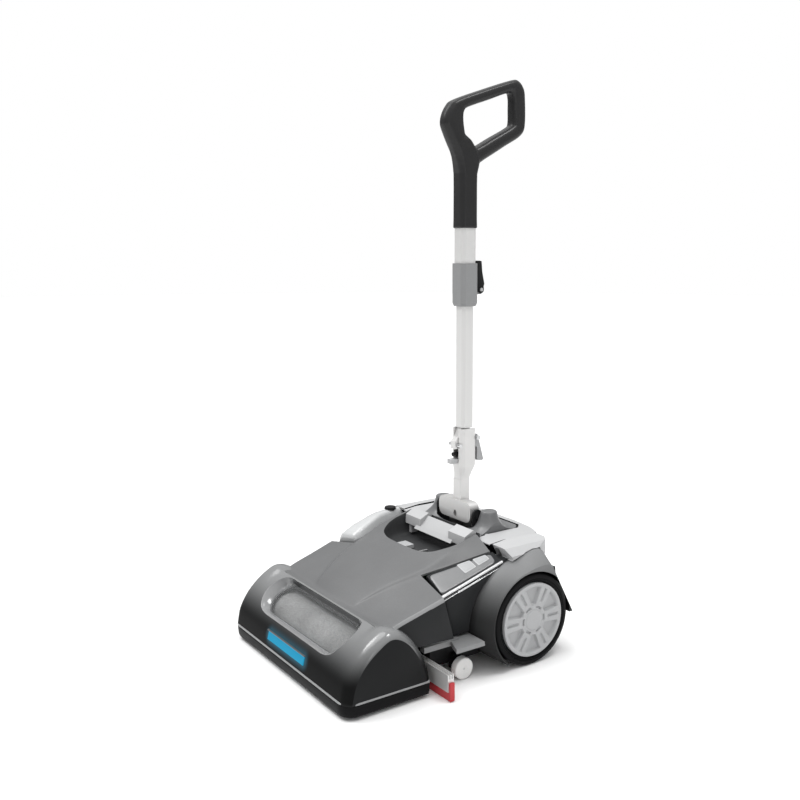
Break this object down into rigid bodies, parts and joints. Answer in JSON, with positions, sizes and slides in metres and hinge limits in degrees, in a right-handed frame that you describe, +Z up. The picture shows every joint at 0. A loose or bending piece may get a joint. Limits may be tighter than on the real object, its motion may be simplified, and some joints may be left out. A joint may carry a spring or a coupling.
{
  "type": "walk-behind floor scrubber",
  "caption": "Compact walk-behind floor scrubber with a roller brush behind a front window, saddle tanks, squeegee, large rear wheels and a folding telescopic mast with a loop grip.",
  "frame": {"origin": "on the floor, at the bottom centre of the bounding box", "axes": "+Z up, -Y towards the front of the machine, +X towards the side with the label plate on its tank"},
  "size_m": [0.5, 0.536, 1.068],
  "materials": {
    "cover_grey": "satin",
    "head_grey": "satin",
    "charcoal": "satin",
    "black_plastic": "matt",
    "light_grey": "satin",
    "button_grey": "satin",
    "led_blue": "lit lens",
    "clear": "clear",
    "translucent_white": "translucent",
    "white_plastic": "satin",
    "tyre_black": "matt",
    "wheel_grey": "satin",
    "silver": "satin anodised",
    "steel": "brushed",
    "grip_black": "semi-gloss",
    "blade_red": "satin",
    "brush_fibre": "short pile",
    "board_green": "solder mask"
  },
  "bodies": {
    "machine_body": {"head_housing": "head_grey", "window_pane": "clear", "bumper_skirt": "black_plastic", "led_lens": "led_blue", "top_cover": "cover_grey", "recess_bowl": "charcoal", "carry_handle": "light_grey", "fender_left": "charcoal", "fender_right": "charcoal", "side_step_left": "charcoal", "side_step_right": "charcoal", "rear_deck": "light_grey", "rear_cover_left": "light_grey", "rear_cover_right": "light_grey", "rear_panel": "charcoal", "hinge_cover": "charcoal", "hinge_bracket": "black_plastic", "hinge_pin": "steel", "chassis_tray": "black_plastic", "axle": "steel", "brush_bearing_left": "steel", "brush_bearing_right": "steel", "brush_motor": "steel", "drive_belt": "tyre_black", "suction_motor": "steel", "water_pump": "light_grey", "control_board": "board_green", "battery_pack": "black_plastic"},
    "start_button": {"start_button": "button_grey"},
    "key_switch": {"key_switch": "steel"},
    "left_tank": {"clean_tank": "translucent_white"},
    "tank_cap": {"clean_tank_cap": "black_plastic"},
    "right_tank": {"recovery_tank": "charcoal", "tank_label_plate": "button_grey"},
    "left_wheel": {"tyre_left": "tyre_black", "wheel_disc_left": "wheel_grey"},
    "right_wheel": {"tyre_right": "tyre_black", "wheel_disc_right": "wheel_grey"},
    "left_roller": {"guide_roller_left": "white_plastic"},
    "right_roller": {"guide_roller_right": "white_plastic"},
    "brush": {"brush_core": "light_grey", "brush_sleeve": "brush_fibre", "brush_pulley": "black_plastic"},
    "motor_drive": {"motor_pulley": "steel"},
    "squeegee": {"squeegee_rail": "translucent_white", "squeegee_blade": "blade_red", "squeegee_arms": "black_plastic"},
    "mast_base": {"mast_foot": "silver", "latch_pin": "steel", "fold_pin": "steel", "lock_knob": "black_plastic"},
    "latch": {"latch_lever": "button_grey"},
    "release_push": {"release_button": "light_grey"},
    "mast_lower": {"fold_block": "silver", "lower_tube": "silver"},
    "mast_upper": {"upper_tube": "silver", "clamp_collar": "cover_grey", "clamp_pin": "steel", "grip": "grip_black"},
    "clamp": {"clamp_lever": "black_plastic"}
  },
  "joints": [
    {"name": "mast_tilt", "type": "hinge", "parent": "machine_body", "child": "mast_base", "pos_m": [0, 0.116, 0.239], "axis": [-1, 0, 0], "range_deg": [0, 60]},
    {"name": "mast_fold", "type": "hinge", "parent": "mast_base", "child": "mast_lower", "pos_m": [0, 0.107, 0.368], "axis": [1, 0, 0], "range_deg": [0, 95]},
    {"name": "mast_telescope", "type": "slide", "parent": "mast_lower", "child": "mast_upper", "axis": [0, 0, 1], "range_m": [-0.165, 0]},
    {"name": "clamp_lever_hinge", "type": "hinge", "parent": "mast_upper", "child": "clamp", "pos_m": [0, 0.157, 0.667], "axis": [-1, 0, 0], "range_deg": [0, 90]},
    {"name": "latch_lever_hinge", "type": "hinge", "parent": "mast_base", "child": "latch", "pos_m": [0, 0.146, 0.381], "axis": [1, 0, 0], "range_deg": [0, 40], "stiffness_Nm_per_rad": 0.05},
    {"name": "release_button_push", "type": "slide", "parent": "mast_base", "child": "release_push", "axis": [0, 1, 0], "range_m": [0, 0.004], "stiffness_N_per_m": 400},
    {"name": "left_wheel_spin", "type": "hinge", "parent": "machine_body", "child": "left_wheel", "pos_m": [0, 0.118, 0.085], "axis": [1, 0, 0], "continuous": true},
    {"name": "right_wheel_spin", "type": "hinge", "parent": "machine_body", "child": "right_wheel", "pos_m": [0, 0.118, 0.085], "axis": [1, 0, 0], "continuous": true},
    {"name": "left_roller_spin", "type": "hinge", "parent": "machine_body", "child": "left_roller", "pos_m": [-0.188, -0.018, 0.0198], "axis": [1, 0, 0], "continuous": true},
    {"name": "right_roller_spin", "type": "hinge", "parent": "machine_body", "child": "right_roller", "pos_m": [0.188, -0.018, 0.0198], "axis": [1, 0, 0], "continuous": true},
    {"name": "brush_spin", "type": "hinge", "parent": "machine_body", "child": "brush", "pos_m": [0, -0.183, 0.048], "axis": [1, 0, 0], "continuous": true},
    {"name": "motor_pulley_spin", "type": "hinge", "parent": "machine_body", "child": "motor_drive", "pos_m": [-0.16, -0.07, 0.096], "axis": [1, 0, 0], "continuous": true},
    {"name": "squeegee_lift", "type": "hinge", "parent": "machine_body", "child": "squeegee", "pos_m": [0, -0.012, 0.04], "axis": [-1, 0, 0], "range_deg": [0, 8]},
    {"name": "left_tank_pull", "type": "slide", "parent": "machine_body", "child": "left_tank", "axis": [-1, 0, 0], "range_m": [0, 0.08]},
    {"name": "right_tank_pull", "type": "slide", "parent": "machine_body", "child": "right_tank", "axis": [1, 0, 0], "range_m": [0, 0.08]},
    {"name": "tank_cap_lift", "type": "slide", "parent": "left_tank", "child": "tank_cap", "axis": [0, 0, 1], "range_m": [0, 0.03]},
    {"name": "start_button_push", "type": "slide", "parent": "machine_body", "child": "start_button", "axis": [0, 0, -1], "range_m": [0, 0.0025], "stiffness_N_per_m": 400},
    {"name": "key_turn", "type": "hinge", "parent": "machine_body", "child": "key_switch", "pos_m": [0.044, -0.002, 0.18], "axis": [0, 0, 1], "range_deg": [0, 60]}
  ],
  "couplings": [
    {"joint": "motor_pulley_spin", "follows": "brush_spin", "ratio": 2}
  ]
}
